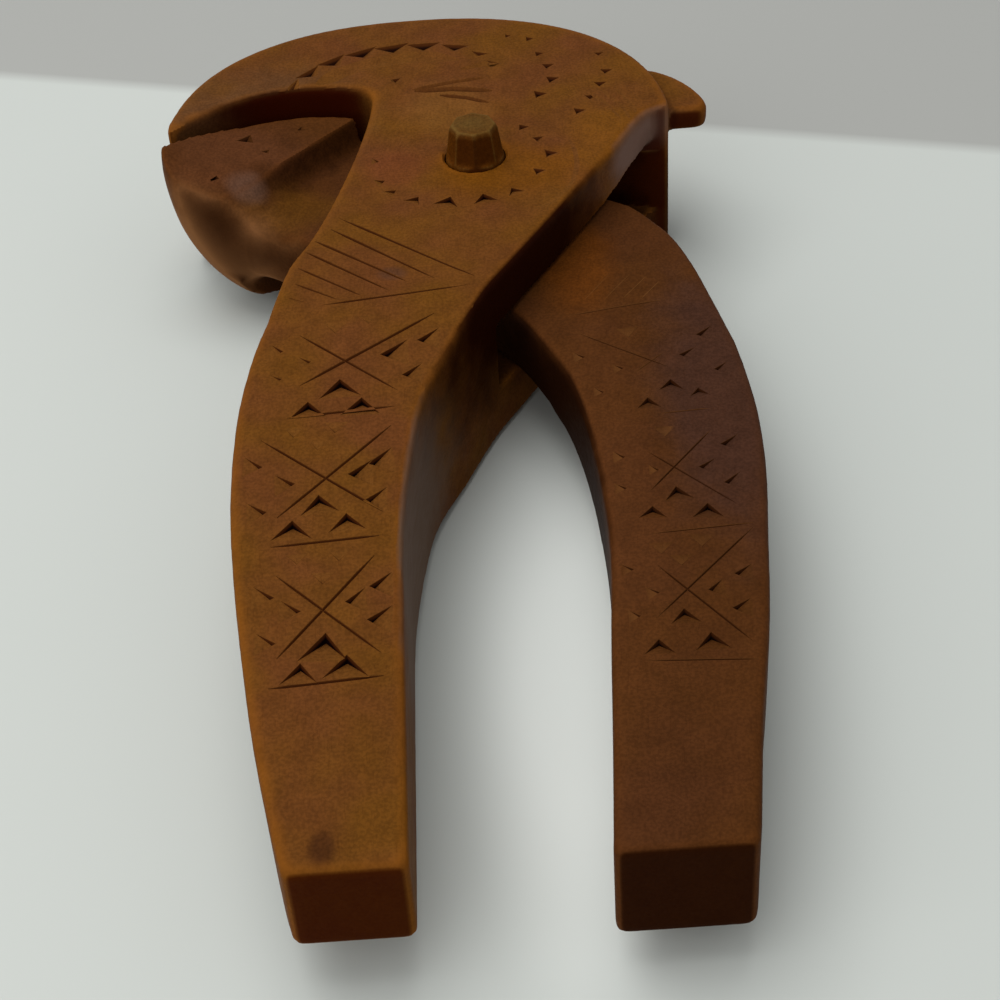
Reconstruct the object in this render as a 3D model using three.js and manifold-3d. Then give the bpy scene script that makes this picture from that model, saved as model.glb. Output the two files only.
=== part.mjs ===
// Two-lever wooden nutcracker: a yoke lever with a mortised head, an inner lever that passes
// through the mortise and ends in a jaw block, and a whittled peg that the inner lever turns on.
// Millimetres. +Z runs up along the peg, +Y from the handle ends to the head.

import * as THREE from 'three';
import { mergeVertices } from 'three/addons/utils/BufferGeometryUtils.js';
import Module from 'manifold-3d';

const wasm = await Module();
wasm.setup();

// Driving sizes, measured from the peg's axis and the underside of the head
const handleReach = 142.5;        // peg axis to the square ends of both handles
const headThickness = 30;
const cheekThickness = 9;         // wood above and below the mortise
const slotClearance = 0.35;       // running gap above and below the inner lever
const arris = 1.0;                // rounding of the whittled long edges
const endChamfer = 0.8;           // upright corners of the handle ends
const overrun = 25;               // how far a cutter runs past the wood
const gripEndTop = 22.5;          // top of both handles at their ends
const topTaperFrom = 40;          // in front of the peg, where the handles' top starts to fall

// Head, a round seen from above
const headRadius = 43.6;
const headDepth = 41.2;           // from the round's centre to its back
const headSquareness = 2.3;       // 2 would be a true ellipse
const headAcross = -9.6;
const headAlong = 9.0;
const noseAlong = 12.6;           // right-hand corner, where the round meets the cheek's side

// Mouth, a round bite under a hooked lip
const mouthRadius = 27.8;
const mouthBreak = 3.6;           // how far its round runs out past the head's, at the lip's tip
const mouthAlong = -1.2;
const mouthRootAside = 11.8;      // from the mouth's centre to its inner wall
const mouthRootRound = 3;
const lipTipThickness = 1.2;      // wood left between the two rounds where the lip ends
const lipTipReach = 6;            // length over which the lip's edges sharpen to its tip
const lipTipLift = 3;             // how far its underside rises over that length

// Yoke lever
const yokeBow = 37.1;             // widest reach of the left handle
const yokeGripWidth = 23.8;
const yokeEndBottom = 8.3;
const bottomTaperFrom = 50;       // in front of the peg, where the underside starts to rise

// Inner lever
const innerBow = 38.9;            // widest reach of the right handle
const innerGripWidth = 23.0;
const innerEndBottom = 6.2;
const innerFullFrom = 43;         // in front of the peg, where the strap starts to fill out below
const tenonBack = 11.5;           // wood from the peg's axis to the tenon's back edge
const tenonBackTurn = 60;         // direction in which it is measured, in degrees from +X

// Jaw block on the inner lever's left end
const blockBottom = 1.5;
const blockTop = 30.8;            // at the block's outer end
const tipAside = 11;              // front left corner of the strap, left of the mouth's centre
const tipAlong = -3.6;
const frontLift = 0.9;            // the block's front lies this far behind that corner
const frontTurn = -17;            // its direction, in degrees from +X
const heelRadius = 19.3;          // round of the block's outer end
const heelRise = 23.6;            // its middle above its lowest point
const heelAside = 5.5;
const heelAlong = 7.7;
const heelTurn = 20;              // direction of the heel's axis, in degrees from +X
const jawFit = 0.8;               // the jaw face is this much tighter than the lip's hollow
const jawGap = 2.2;               // how far it lies in front of that hollow as the tool rests
const jawShift = 0.5;
const crownLow = 26.1;            // top of the block beside the scoop
const crownAside = 7;             // the top curves up from here to the outer end
const scoopAside = 14.6;          // outer corner of the scooped shoulder
const scoopAlong = -2.8;
const scoopTurn = 47;             // direction of its long side, in degrees from +X
const scoopEndTurn = -92;         // direction of its short end
const scoopWidth = 2.2;           // run of its hollow side
const scoopRound = 1.5;           // plan rounding of the corner

// Mortise
const slotFront = -36.3;          // front wall at the crotch
const slotFrontLift = 4.5;        // how much further back that wall lies at the left
const slotNoseGap = 0.8;          // from the mortise's back wall to the head's right-hand corner
const slotFlareRun = 13;          // the roof of the mortise lifts towards that corner
const slotFlareRise = 5.2;

// Peg
const pegDiameter = 9.6;
const pegProud = 6.0;
const pegBaseFlats = 9.0;         // across the flats where it leaves the head
const pegTopFlats = 7.6;
const pegTopRound = 0.8;
const pegClearance = 0.3;
const pegRecess = 0.5;            // lower end above the head's underside

// Lug on the head's right side
const lugTop = 27;
const lugThickness = 4.5;
const lugProud = 7;               // out from the head's round
const lugFront = 15.4;
const lugWidth = 16;
const lugTipRound = 3;

// Facets
const handleSteps = 26;
const curveSteps = 22;
const headSteps = 56;
const lipSteps = 26;
const rearSteps = 44;
const arrisSteps = 2;
const cornerSteps = 4;
const roundSides = 32;
const jawSides = 120;
const pegFlats = 8;
const weld = 1e-4;
const lipTipSearch = 0.25;        // step of the search for the lip's tip, in degrees

// Shares that shape curves and corners
const sharpestMiterShare = 0.4;
const fullnessShare = 0.35;       // how soon the strap fills out below
const lipTipRoundShare = 0.37;    // of the wood at the lip's tip
const lipTipEdgeShare = 0.2;
const flareBendShares = [0.6, 0.3];  // along the run, up the rise

const degrees = Math.PI / 180;
const slotBottom = cheekThickness;
const slotTop = headThickness - cheekThickness;
const tenonBottom = slotBottom + slotClearance;
const tenonTop = slotTop - slotClearance;
const jawRadius = mouthRadius - jawFit;
const mouthAcross = headAcross - headRadius + mouthRadius - mouthBreak;
const mouthRoot = mouthAcross + mouthRootAside;
const jawAcross = mouthAcross - jawShift;
const jawAlong = mouthAlong - jawGap;
const tipAcross = mouthAcross - tipAside;
const heelAcross = mouthAcross - heelAside;
const crownFrom = mouthAcross - crownAside;
const scoopAcross = mouthAcross - scoopAside;
const lugReach = headAcross + headRadius + lugProud;

// Handle sides as shares: along the reach, outer side of the bow, width of the grip
const yokeHandleShares = [
  [1.00, 0.763, 0.635],
  [0.87, 0.863, 0.790],
  [0.74, 0.935, 0.903],
  [0.62, 0.984, 0.987],
  [0.52, 1.000, 1.067],
  [0.43, 0.985, 1.140],
  [0.35, 0.941, 1.273],
  [0.30, 0.892, 1.328],
];
const innerHandleShares = [
  [1.00, 0.710, 0.752],
  [0.87, 0.784, 0.813],
  [0.74, 0.875, 0.904],
  [0.62, 0.935, 0.948],
  [0.52, 0.982, 1.035],
  [0.43, 1.000, 1.109],
  [0.35, 0.990, 1.178],
  [0.30, 0.974, 1.261],
];

// Curves between two named points, as shares of the way across and along
const cheekSideShares = [[0.072, 0.094], [0.186, 0.213], [0.423, 0.464], [0.687, 0.753], [0.864, 0.951]];
const neckSideShares = [[0.945, 0.86], [0.789, 0.667], [0.578, 0.468], [0.373, 0.317], [0.161, 0.195]];
const elbowShares = [
  [0.922, 0.220],
  [0.875, 0.153],
  [0.818, 0.098],
  [0.750, 0.062],
  [0.677, 0.031],
  [0.599, 0.012],
];
const tenonFrontShares = [[0.778, 0.900], [0.485, 0.728], [0.257, 0.529], [0.091, 0.257]];

function point(across, along) {
  return new THREE.Vector2(across, along);
}

function smooth(points, steps) {
  return new THREE.SplineCurve(points).getPoints(steps);
}

function arc(across, along, radius, from, to, steps) {
  const points = [];
  for (let step = 0; step <= steps; step += 1) {
    const angle = (from + (to - from) * step / steps) * degrees;
    points.push(point(across + radius * Math.cos(angle), along + radius * Math.sin(angle)));
  }
  return points;
}

// Points round the head from one angle to another
function headRound(from, to, steps) {
  return arc(0, 0, 1, from, to, steps).map((spot) => point(
    headAcross + headRadius * Math.sign(spot.x) * Math.abs(spot.x) ** (2 / headSquareness),
    headAlong + headDepth * Math.abs(spot.y) ** (2 / headSquareness),
  ));
}

// Direction in which the head's round comes that close to the mouth's, in degrees
function lipTipAngle() {
  const centre = point(mouthAcross, mouthAlong);
  let angle = 90;
  while (angle < 180 && headRound(angle, angle, 1)[0].distanceTo(centre) > mouthRadius + lipTipThickness) {
    angle += lipTipSearch;
  }
  return angle;
}

function between(start, end, shares) {
  return shares.map(([across, along]) => point(
    THREE.MathUtils.lerp(start.x, end.x, across),
    THREE.MathUtils.lerp(start.y, end.y, along),
  ));
}

// Joins two runs of points with a soft corner that starts `round` before and after it
function join(first, second, round) {
  const corner = first[first.length - 1].clone().lerp(second[0], 0.5);
  const before = first.filter((spot) => spot.distanceTo(corner) > round);
  const after = second.filter((spot) => spot.distanceTo(corner) > round);
  const leave = before[before.length - 1].clone().sub(corner).setLength(round).add(corner);
  const enter = after[0].clone().sub(corner).setLength(round).add(corner);
  const turn = new THREE.QuadraticBezierCurve(leave, corner, enter).getPoints(cornerSteps);
  return [...before, ...turn, ...after];
}

// Left and right sides of a handle, from its end up to the neck
function handleSides(shares, bow, gripWidth, side) {
  const outer = [];
  const inner = [];
  for (const [along, bowShare, widthShare] of shares) {
    outer.push(point(side * bow * bowShare, -handleReach * along));
    inner.push(point(side * (bow * bowShare - gripWidth * widthShare), -handleReach * along));
  }
  const outerRun = smooth(outer, handleSteps);
  const innerRun = smooth(inner, handleSteps);
  for (const run of [outerRun, innerRun]) {
    run.unshift(run[0].clone());
    run[1].y += endChamfer;
  }
  outerRun[0].x -= side * endChamfer;
  innerRun[0].x += side * endChamfer;
  return side > 0 ? { right: outerRun, left: innerRun } : { right: innerRun, left: outerRun };
}

// Inward unit miter at every corner of a closed outline that runs anticlockwise
function miters(outline) {
  const count = outline.length;
  return outline.map((spot, index) => {
    const back = spot.clone().sub(outline[(index + count - 1) % count]).normalize();
    const ahead = outline[(index + 1) % count].clone().sub(spot).normalize();
    const sum = point(-back.y - ahead.y, back.x + ahead.x);
    return sum.divideScalar(Math.max(1 + back.dot(ahead), sharpestMiterShare));
  });
}

// A closed plate with rounded edges. `heights` gives its bottom and top at any point and
// `edge` the rounding. The first and last `ladder` points are the two sides of a handle.
function plate(outline, heights, edge, ladder) {
  const inward = miters(outline);
  const count = outline.length;
  const places = [];
  const faces = [];
  const turns = [];
  for (let step = 0; step <= arrisSteps; step += 1) {
    turns.push(step / arrisSteps * Math.PI / 2);
  }
  const rings = [
    ...turns.map((turn) => ({ inset: 1 - Math.sin(turn), drop: 1 - Math.cos(turn), up: 0 })),
    ...turns.map((turn) => ({ inset: 1 - Math.cos(turn), drop: 1 - Math.sin(turn), up: 1 })),
  ];
  for (const { inset, drop, up } of rings) {
    outline.forEach((spot, index) => {
      const round = edge(spot);
      const place = spot.clone().addScaledVector(inward[index], inset * round);
      const [bottom, top] = heights(place);
      places.push(place.x, place.y, up ? top - drop * round : bottom + drop * round);
    });
  }
  for (let ring = 0; ring < rings.length - 1; ring += 1) {
    for (let index = 0; index < count; index += 1) {
      const here = ring * count + index;
      const next = ring * count + (index + 1) % count;
      faces.push(here, next, next + count, here, next + count, here + count);
    }
  }
  const topStart = (rings.length - 1) * count;
  const cap = (a, b, c) => {
    faces.push(a, c, b);
    faces.push(topStart + a, topStart + b, topStart + c);
  };
  for (let rung = 0; rung < ladder - 1; rung += 1) {
    cap(count - 1 - rung, rung, rung + 1);
    cap(count - 1 - rung, rung + 1, count - 2 - rung);
  }
  const head = [];
  for (let index = ladder - 1; index <= count - ladder; index += 1) {
    head.push(index);
  }
  const flat = head.map((index) => point(places[(topStart + index) * 3], places[(topStart + index) * 3 + 1]));
  for (const [a, b, c] of THREE.ShapeUtils.triangulateShape(flat, [])) {
    cap(head[a], head[b], head[c]);
  }
  const geometry = new THREE.BufferGeometry();
  geometry.setAttribute('position', new THREE.Float32BufferAttribute(places, 3));
  geometry.setIndex(faces);
  return geometry;
}

function solid(geometry) {
  const bare = geometry.clone();
  bare.deleteAttribute('normal');
  bare.deleteAttribute('uv');
  const merged = mergeVertices(bare, weld);
  return new wasm.Manifold(new wasm.Mesh({
    numProp: 3,
    vertProperties: new Float32Array(merged.attributes.position.array),
    triVerts: new Uint32Array(merged.index.array),
  }));
}

function mesh(name, body, color, roughness) {
  const result = body.getMesh();
  const geometry = new THREE.BufferGeometry();
  geometry.setAttribute('position', new THREE.BufferAttribute(new Float32Array(result.vertProperties), 3));
  geometry.setIndex(new THREE.BufferAttribute(new Uint32Array(result.triVerts), 1));
  const flat = geometry.toNonIndexed();
  flat.computeVertexNormals();
  const piece = new THREE.Mesh(flat, new THREE.MeshStandardMaterial({ color, roughness, metalness: 0 }));
  piece.name = name;
  return piece;
}

// Straight-sided cutter or blank with the given outline between two heights
function prism(points, bottom, top) {
  const geometry = new THREE.ExtrudeGeometry(new THREE.Shape(points), {
    depth: top - bottom,
    bevelEnabled: false,
    steps: 1,
  });
  return geometry.translate(0, 0, bottom);
}

function upright(radius, across, along, bottom, top, sides) {
  return new THREE.CylinderGeometry(radius, radius, top - bottom, sides)
    .rotateX(Math.PI / 2)
    .translate(across, along, (top + bottom) / 2);
}

// Yoke lever
function yokeOutline() {
  const { right, left } = handleSides(yokeHandleShares, yokeBow, yokeGripWidth, -1);
  const crotch = right[right.length - 1];
  const waist = left[left.length - 1];
  const noseAngle = Math.asin(((noseAlong - headAlong) / headDepth) ** (headSquareness / 2)) / degrees;
  const back = headRound(noseAngle, lipTipAngle(), headSteps);
  const nose = back[0];
  const tip = back[back.length - 1];
  const cheekSide = smooth([crotch, ...between(crotch, nose, cheekSideShares), nose], curveSteps);
  const tipAngle = Math.atan2(tip.y - mouthAlong, tip.x - mouthAcross) / degrees;
  const rootAngle = Math.acos((mouthRoot - mouthAcross) / mouthRadius) / degrees;
  const lip = arc(mouthAcross, mouthAlong, mouthRadius, tipAngle, rootAngle, lipSteps);
  const root = lip[lip.length - 1];
  const neckRun = [waist, ...between(waist, root, neckSideShares).reverse(), root];
  const neckSide = smooth(neckRun, curveSteps).reverse();
  let crown = join(cheekSide.slice(1), back, arris);
  crown = join(crown, [tip.clone().lerp(lip[0], 0.5), ...lip], lipTipThickness * lipTipRoundShare);
  crown = join(crown, neckSide, mouthRootRound);
  crown.pop();
  return { outline: [...right, ...crown, ...left.reverse()], ladder: right.length, root, nose, tip };
}

// How far a place lies along a handle's taper, from 0 where it starts to 1 at the end
function taperShare(place, from) {
  return THREE.MathUtils.clamp((-place.y - from) / (handleReach - from), 0, 1);
}

function yokeHeights(place, tip) {
  const atTip = Math.max(1 - place.distanceTo(tip) / lipTipReach, 0);
  return [
    yokeEndBottom * taperShare(place, bottomTaperFrom) + lipTipLift * atTip,
    THREE.MathUtils.lerp(headThickness, gripEndTop, taperShare(place, topTaperFrom)),
  ];
}

function mortise(root, nose) {
  const rise = (root.y - nose.y + slotNoseGap) / (nose.x - root.x);
  const run = headRadius + overrun;
  const points = [
    point(-run, slotFront + slotFrontLift),
    point(-yokeBow, slotFront + slotFrontLift),
    point(0, slotFront),
    point(run, slotFront - slotFrontLift),
    point(run, nose.y - slotNoseGap - rise * (run - nose.x)),
    point(root.x, root.y),
    point(-run, mouthAlong),
  ];
  const [bendAlong, bendUp] = flareBendShares;
  const flareFrom = nose.x - slotFlareRun;
  const flare = [
    point(flareFrom, slotTop - arris),
    point(flareFrom, slotTop),
    point(flareFrom + slotFlareRun * bendAlong, slotTop + slotFlareRise * bendUp),
    point(nose.x, slotTop + slotFlareRise),
    point(run, slotTop + slotFlareRise),
    point(run, slotTop - arris),
  ];
  const lift = prism(flare, slotNoseGap - nose.y, overrun).rotateX(Math.PI / 2);
  return solid(prism(points, slotBottom, slotTop)).add(solid(lift));
}

function lug() {
  const outline = new THREE.Shape();
  const rear = lugFront + lugWidth;
  const inside = headRadius + headAcross - lugThickness;
  outline.moveTo(inside, lugFront);
  outline.lineTo(lugReach - lugTipRound, lugFront);
  outline.quadraticCurveTo(lugReach, lugFront, lugReach, lugFront + lugTipRound);
  const leave = point(lugReach - lugTipRound / 2, rear - lugTipRound * 2);
  const enter = point(inside + lugThickness, rear);
  outline.bezierCurveTo(leave.x, leave.y, enter.x, enter.y, inside, rear);
  const round = arris;
  const geometry = new THREE.ExtrudeGeometry(outline, {
    depth: lugThickness - 2 * round,
    bevelEnabled: true,
    bevelThickness: round,
    bevelSize: round,
    bevelOffset: -round,
    bevelSegments: arrisSteps,
    curveSegments: cornerSteps * 2,
  });
  return geometry.translate(0, 0, lugTop - lugThickness + round);
}

function pegBore() {
  const radius = pegDiameter / 2 + pegClearance;
  return upright(radius, 0, 0, -overrun, headThickness + overrun, roundSides);
}

function makeYoke() {
  const { outline, ladder, root, nose, tip } = yokeOutline();
  const sharp = lipTipThickness * lipTipEdgeShare;
  const edge = (spot) => THREE.MathUtils.clamp(arris * spot.distanceTo(tip) / lipTipReach, sharp, arris);
  const blank = solid(plate(outline, (place) => yokeHeights(place, tip), edge, ladder));
  return blank.add(solid(lug())).subtract(mortise(root, nose)).subtract(solid(pegBore()));
}

// Inner lever
function strapOutline() {
  const { right, left } = handleSides(innerHandleShares, innerBow, innerGripWidth, 1);
  const crotch = left[left.length - 1];
  const shoulder = right[right.length - 1];
  const elbow = elbowShares.map(([across, along]) => point(innerBow * across, -handleReach * along));
  const jawEnd = jawPoint(mouthRoot - jawGap - jawFit);
  const turn = tenonBackTurn * degrees;
  const back = point(tenonBack * Math.cos(turn), tenonBack * Math.sin(turn));
  const rear = smooth([shoulder, ...elbow, back, jawEnd], rearSteps);
  const tip = point(tipAcross, tipAlong);
  const run = [crotch, ...between(crotch, tip, tenonFrontShares).reverse(), tip];
  const front = smooth(run, curveSteps).reverse();
  const crown = [
    ...rear.slice(1),
    jawPoint(mouthAcross),
    point(tipAcross, heelAlong),
    ...front.slice(0, -1),
  ];
  return { outline: [...right, ...crown, ...left.reverse()], ladder: right.length };
}

// A point just inside the jaw face
function jawPoint(across) {
  return point(across, jawAlong + Math.sqrt(jawRadius ** 2 - (across - jawAcross) ** 2) - arris / 2);
}

function strapHeights(place) {
  return [
    THREE.MathUtils.lerp(tenonBottom, innerEndBottom, taperShare(place, innerFullFrom) ** fullnessShare),
    THREE.MathUtils.lerp(tenonTop, gripEndTop, taperShare(place, topTaperFrom)),
  ];
}

// The block is a deep rounded bar that runs on under the head, with a straight front
function jawBlock() {
  const run = headRadius + overrun;
  const length = jawRadius * 2;
  const ahead = point(Math.cos(frontTurn * degrees), Math.sin(frontTurn * degrees));
  const tip = point(tipAcross, tipAlong + frontLift);
  const front = [
    tip.clone().addScaledVector(ahead, -run),
    tip.clone().addScaledVector(ahead, run),
    point(run, run),
    point(-run, run),
  ];
  const heel = new THREE.CapsuleGeometry(heelRadius, length, roundSides / 2, roundSides)
    .translate(0, -length / 2, 0)
    .rotateZ((heelTurn + 90) * degrees)
    .scale(1, 1, heelRise / heelRadius)
    .translate(heelAcross, heelAlong, blockBottom + heelRise);
  return solid(prism(front, blockBottom, blockTop)).intersect(solid(heel));
}

// Takes the block's top down to its crown: level beside the scoop, curving up to the outer end
function crownCutter() {
  const run = headRadius + overrun;
  const end = heelAcross - heelRadius;
  const high = point(end, blockTop);
  const bend = point((end + crownFrom) / 2, crownLow);
  const curve = new THREE.QuadraticBezierCurve(high, bend, point(crownFrom, crownLow));
  const profile = [
    point(end - overrun, headThickness + overrun),
    point(end - overrun, blockTop),
    ...curve.getPoints(cornerSteps),
    point(run, crownLow),
    point(run, headThickness + overrun),
  ];
  return prism(profile, -run, run).rotateX(Math.PI / 2);
}

// The shoulder's scoop has one rounded corner in plan and hollow sides
function scoopCutter(bottom, top) {
  const run = headRadius + overrun;
  const corner = point(scoopAcross, scoopAlong);
  const along = point(Math.cos(scoopTurn * degrees), Math.sin(scoopTurn * degrees));
  const down = point(Math.cos(scoopEndTurn * degrees), Math.sin(scoopEndTurn * degrees));
  const enter = corner.clone().addScaledVector(down, scoopRound);
  const leave = corner.clone().addScaledVector(along, scoopRound);
  const low = corner.clone().addScaledVector(down, run);
  const high = corner.clone().addScaledVector(along, run);
  const outline = new THREE.Shape();
  outline.moveTo(enter.x, enter.y);
  outline.lineTo(low.x, low.y);
  outline.lineTo(high.x, low.y);
  outline.lineTo(high.x, high.y);
  outline.lineTo(leave.x, leave.y);
  outline.quadraticCurveTo(corner.x, corner.y, enter.x, enter.y);
  const hollow = crownLow - tenonTop;
  const geometry = new THREE.ExtrudeGeometry(outline, {
    depth: top - bottom - 2 * hollow,
    bevelEnabled: true,
    bevelThickness: hollow,
    bevelSize: scoopWidth,
    bevelOffset: -scoopWidth,
    bevelSegments: cornerSteps,
    curveSegments: cornerSteps,
  });
  return geometry.translate(0, 0, bottom + hollow);
}

function makeInnerLever() {
  const { outline, ladder } = strapOutline();
  const strap = solid(plate(outline, strapHeights, () => arris, ladder));
  const jaw = solid(upright(jawRadius, jawAcross, jawAlong, -overrun, headThickness + overrun, jawSides));
  const block = jawBlock()
    .intersect(jaw)
    .subtract(solid(crownCutter()))
    .subtract(solid(scoopCutter(tenonTop, headThickness + overrun)))
    .subtract(solid(scoopCutter(-overrun, tenonBottom)));
  return strap.add(block).subtract(solid(pegBore()));
}

// Peg: a round shank whose proud end is whittled to eight flats
function makePeg() {
  const top = headThickness + pegProud;
  const shank = solid(upright(pegDiameter / 2, 0, 0, pegRecess, top, roundSides));
  const toCorner = 1 / (2 * Math.cos(Math.PI / pegFlats));
  const flats = [
    [0, 0],
    [pegDiameter, 0],
    [pegDiameter, headThickness],
    [pegBaseFlats * toCorner, headThickness + pegClearance],
    [pegTopFlats * toCorner, top - pegTopRound],
    [(pegTopFlats - pegTopRound) * toCorner, top],
    [0, top],
  ].map(([radius, height]) => point(radius, height));
  const whittled = new THREE.LatheGeometry(flats, pegFlats).rotateX(Math.PI / 2);
  return shank.intersect(solid(whittled));
}

const tool = new THREE.Group();
tool.add(mesh('yoke_lever', makeYoke(), 0x8a4f22, 0.5));
tool.add(mesh('inner_lever', makeInnerLever(), 0x74391f, 0.5));
tool.add(mesh('pivot_peg', makePeg(), 0x9a7a48, 0.6));

const box = new THREE.Box3().setFromObject(tool);
const centre = box.getCenter(new THREE.Vector3());
tool.position.set(-centre.x, -centre.y, -box.min.z);

export default tool;
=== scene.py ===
from math import atan2, cos, pi, radians, sin
from random import Random

import bmesh
import bpy
from mathutils import Matrix, Vector


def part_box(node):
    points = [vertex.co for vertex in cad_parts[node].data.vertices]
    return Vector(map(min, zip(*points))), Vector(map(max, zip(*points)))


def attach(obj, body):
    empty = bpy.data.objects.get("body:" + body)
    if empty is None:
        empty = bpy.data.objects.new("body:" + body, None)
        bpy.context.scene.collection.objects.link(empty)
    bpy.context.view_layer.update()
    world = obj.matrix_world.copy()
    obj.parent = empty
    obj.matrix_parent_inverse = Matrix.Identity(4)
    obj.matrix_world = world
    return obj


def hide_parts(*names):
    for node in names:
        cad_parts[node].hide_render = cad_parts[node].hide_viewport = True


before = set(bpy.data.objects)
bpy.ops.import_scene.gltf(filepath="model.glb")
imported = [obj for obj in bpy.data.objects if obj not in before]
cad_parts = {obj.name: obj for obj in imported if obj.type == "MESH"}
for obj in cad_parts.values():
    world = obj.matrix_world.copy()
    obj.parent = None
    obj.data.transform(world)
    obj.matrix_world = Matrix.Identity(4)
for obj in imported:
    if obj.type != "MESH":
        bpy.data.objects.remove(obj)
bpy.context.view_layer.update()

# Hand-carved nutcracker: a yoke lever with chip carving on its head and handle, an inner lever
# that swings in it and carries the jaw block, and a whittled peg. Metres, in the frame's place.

MM = 0.001
peg_low, peg_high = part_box("pivot_peg")
peg_axis = (peg_low + peg_high) / 2

# Tops of the two levers, in mm: level to where the handles' taper starts, then falling or rising
TAPER_FROM = -40.0
HANDLE_END = -142.5
GRIP_END_TOP = 22.5
YOKE_TOP = 30.0
INNER_TOP = 20.65


def top_at(along, level):
    share = max(0.0, (TAPER_FROM - along) / (TAPER_FROM - HANDLE_END))
    return level + (GRIP_END_TOP - level) * share


def fall_at(along, level):
    """How far the top leans there, as an angle about +X."""
    return atan2(level - GRIP_END_TOP, TAPER_FROM - HANDLE_END) if along < TAPER_FROM else 0.0


def place(across, along, height):
    """A spot given in mm from the peg's axis and the head's underside."""
    return Vector((peg_axis.x + across * MM, peg_axis.y + along * MM, height * MM))


# Carving, in mm from the peg's axis

# Grooves: width and depth, then the spots they run through
YOKE_GROOVES = [
    (0.8, 0.42, (-22.3, -16.4), (-1.4, -35.1)),
    (0.8, 0.42, (-23.7, -19.4), (-6.8, -35.5)),
    (0.8, 0.40, (-26.8, -21.9), (-10.8, -36.1)),
    (0.75, 0.38, (-27.8, -25.2), (-14.0, -37.8)),
    (0.7, 0.34, (-28.6, -29.8), (-18.3, -38.6)),
    (0.65, 0.30, (-28.9, -34.1), (-22.1, -39.0)),
    (0.5, 0.20, (-30.1, -37.5), (-27.1, -39.2)),
    (0.75, 0.44, (-24.7, -40.1), (-2.1, -37.2)),
    (2.0, 0.12, (15.4, 5.4), (16.6, 0.2), (16.7, -5.4), (15.4, -11.1), (12.2, -15.6), (7.0, -18.6)),
    (1.6, 0.09, (-19.8, -7.6), (-17.2, -12.2), (-12.8, -15.6), (-6.4, -17.4), (0.4, -17.8)),
    (1.8, 0.10, (20.0, 19.0), (23.4, 13.6), (25.4, 7.8)),
    (1.8, 0.10, (22.4, 19.6), (25.8, 12.6), (27.4, 5.6)),
    (1.8, 0.10, (24.8, 19.8), (27.6, 12.6), (28.7, 3.6)),
    (5.0, 0.32, (-27.6, 26.6), (-23.4, 31.0), (-18.2, 33.8), (-12.6, 35.2), (-6.8, 35.0), (-1.6, 33.0)),
]
INNER_GROOVES = [
    (0.45, 0.20, (12.8, -34.4), (20.4, -33.0), (27.6, -31.9)),
    (0.5, 0.05, (15.6, -30.6), (21.0, -22.6)),
    (0.5, 0.05, (18.6, -31.0), (24.0, -23.4)),
    (0.5, 0.05, (21.6, -31.0), (26.4, -24.6)),
    (0.5, 0.05, (24.6, -31.2), (28.2, -26.4)),
]
# Broad soft cuts that fan out behind the peg
FAN_CUTS = [
    (1.4, 0.42, (-10.2, 23.4), (-3.0, 25.2), (2.6, 26.0)),
    (1.9, 0.60, (-9.8, 22.9), (-3.0, 22.8), (3.8, 21.2)),
    (1.4, 0.50, (-5.4, 20.9), (-0.8, 19.4), (3.0, 17.2)),
    (1.6, 0.46, (-1.6, 29.6), (2.2, 30.6), (5.4, 30.2)),
]

# Crosses: arms and the bar below, as grooves, then the chips on each side as (across, along, width)
YOKE_CROSSES = [
    {
        "strokes": [
            (0.68, 0.42, (-27.6, -58.1), (-7.8, -43.9)),
            (0.58, 0.34, (-27.9, -46.9), (-13.4, -60.6)),
            (0.6, 0.40, (-29.3, -64.9), (-13.8, -63.9)),
        ],
        "right": [(-14.3, -50.8, 6.4), (-9.1, -48.4, 5.4), (-11.6, -56.0, 5.0)],
        "left": [(-31.1, -49.3, 3.6), (-26.9, -52.2, 3.4), (-31.0, -55.7, 3.0)],
        "below": [(-21.8, -58.5, 6.5), (-26.4, -62.8, 6.3), (-18.7, -62.7, 6.5)],
        "above": [(-22.6, -46.2, 4.6), (-17.6, -44.6, 4.2)],
    },
    {
        "strokes": [
            (0.58, 0.36, (-14.5, -67.9), (-30.2, -84.8)),
            (0.6, 0.38, (-32.9, -69.2), (-15.8, -84.9)),
            (0.6, 0.40, (-30.8, -90.2), (-16.3, -89.4)),
        ],
        "right": [(-19.2, -75.8, 5.6), (-16.4, -73.9, 5.2), (-17.2, -81.4, 5.2)],
        "left": [(-33.6, -73.4, 4.6), (-29.0, -77.2, 4.8), (-32.7, -82.5, 4.4)],
        "below": [(-24.5, -82.0, 6.1), (-28.1, -86.6, 5.8), (-20.7, -85.8, 5.6)],
        "above": [(-28.3, -68.4, 4.4), (-22.4, -68.0, 4.4), (-24.8, -71.4, 4.2)],
    },
    {
        "strokes": [
            (0.6, 0.38, (-17.0, -93.0), (-29.5, -109.9)),
            (0.58, 0.36, (-30.0, -95.5), (-16.2, -110.0)),
            (0.6, 0.40, (-30.4, -114.7), (-15.9, -113.8)),
        ],
        "right": [(-16.4, -97.1, 5.4), (-19.7, -99.6, 5.0), (-16.7, -103.0, 5.2)],
        "left": [(-31.3, -98.1, 4.8), (-27.7, -100.9, 4.4), (-30.8, -106.1, 4.6)],
        "below": [(-23.4, -107.5, 7.0), (-26.5, -111.9, 5.6), (-20.6, -111.1, 6.6)],
        "above": [(-27.3, -93.1, 4.2), (-21.7, -92.9, 4.2), (-23.8, -96.9, 4.0)],
    },
]
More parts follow.
